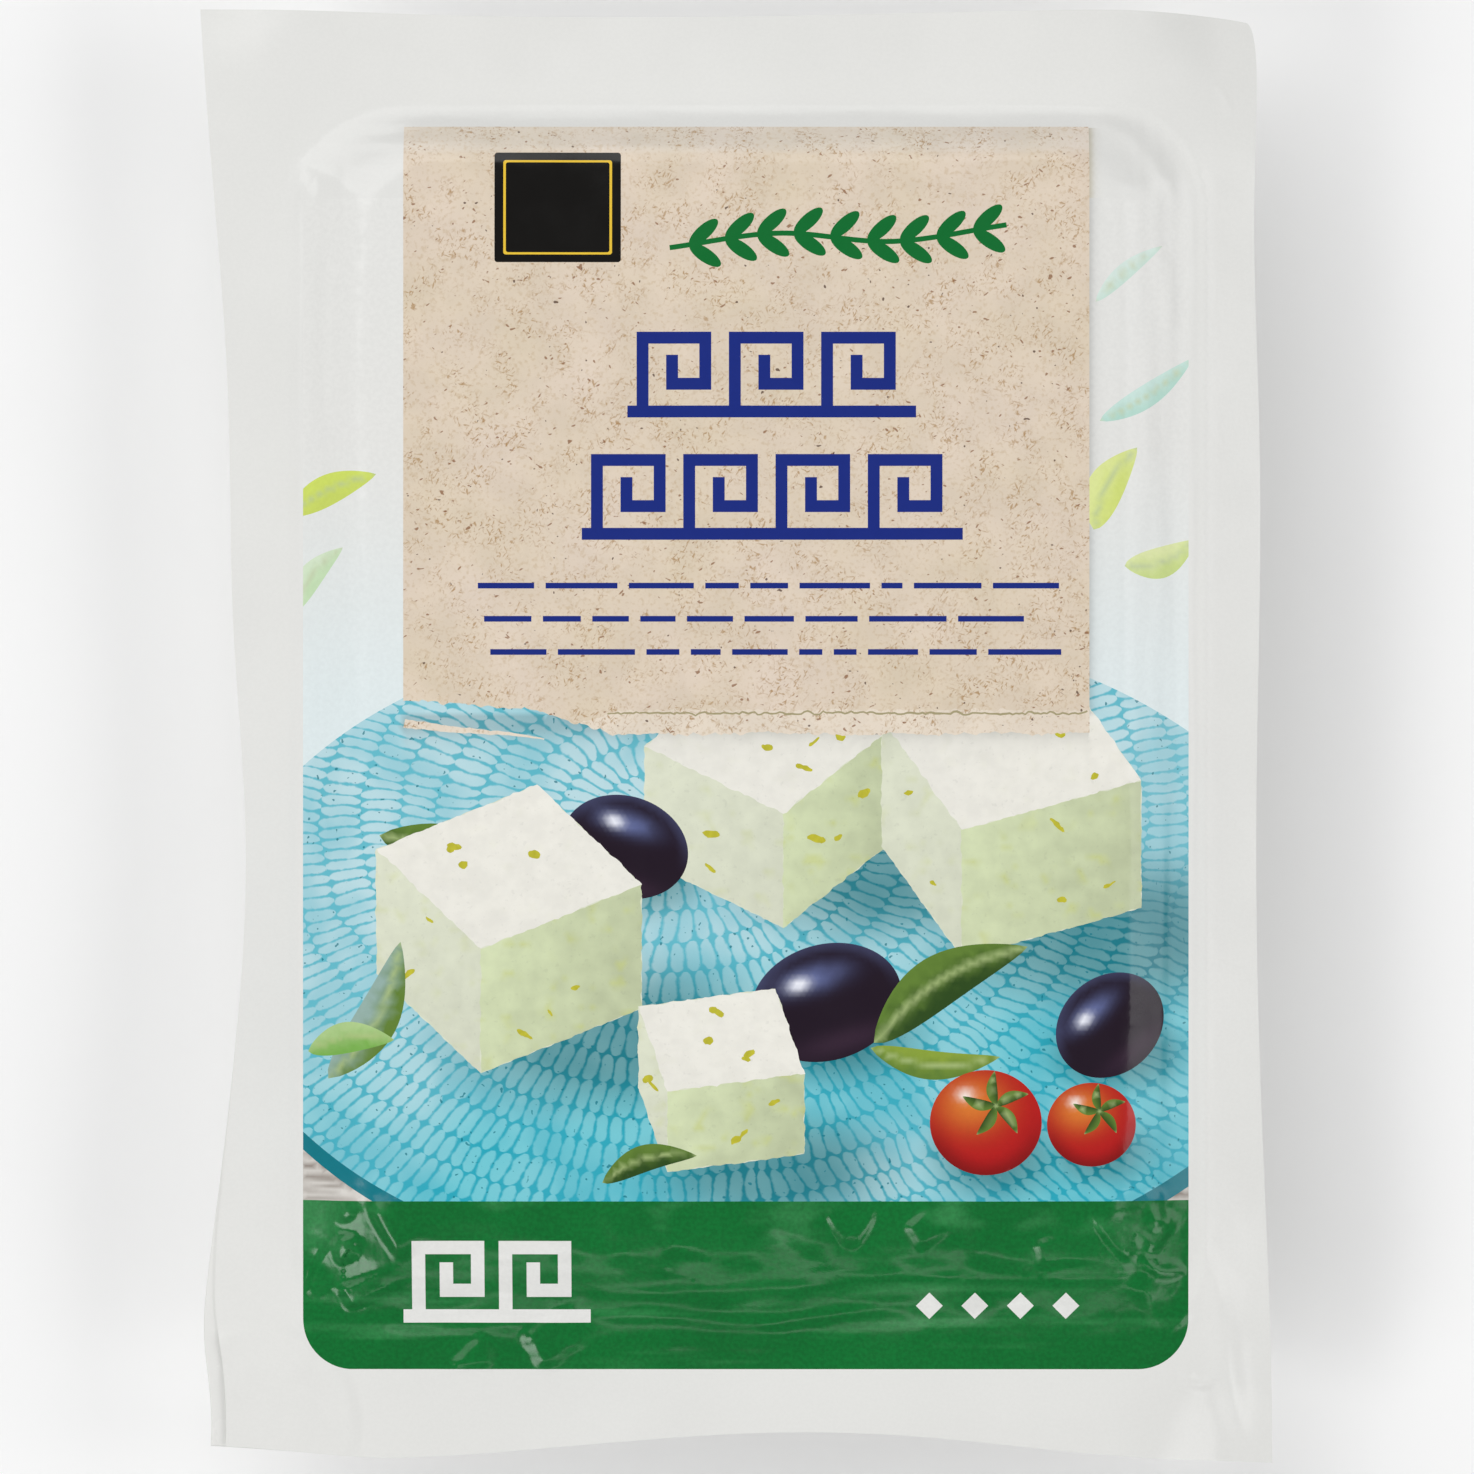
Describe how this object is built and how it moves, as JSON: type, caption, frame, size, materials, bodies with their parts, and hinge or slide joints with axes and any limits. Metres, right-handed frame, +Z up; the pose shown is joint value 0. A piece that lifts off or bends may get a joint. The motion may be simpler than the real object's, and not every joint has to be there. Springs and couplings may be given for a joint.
{
  "type": "vacuum pack of feta cheese",
  "caption": "Flat block of white cheese sealed in a glossy vacuum pack: white formed base film, printed top film with a wavy sealed rim, lying on its back.",
  "frame": {"origin": "bottom centre of the pack's box, on the surface it lies on", "axes": "+X across the pack to the right of the print, +Y along the pack to the head of the print, +Z up out of the printed face"},
  "size_m": [0.104, 0.141, 0.021],
  "materials": {
    "base_film": "glossy white formed film with fine creases",
    "top_film": "glossy white film printed with a green band, a beige paper field and food shapes"
  },
  "bodies": {
    "root": {"formed_base": "base_film", "top_film": "top_film"}
  },
  "joints": []
}
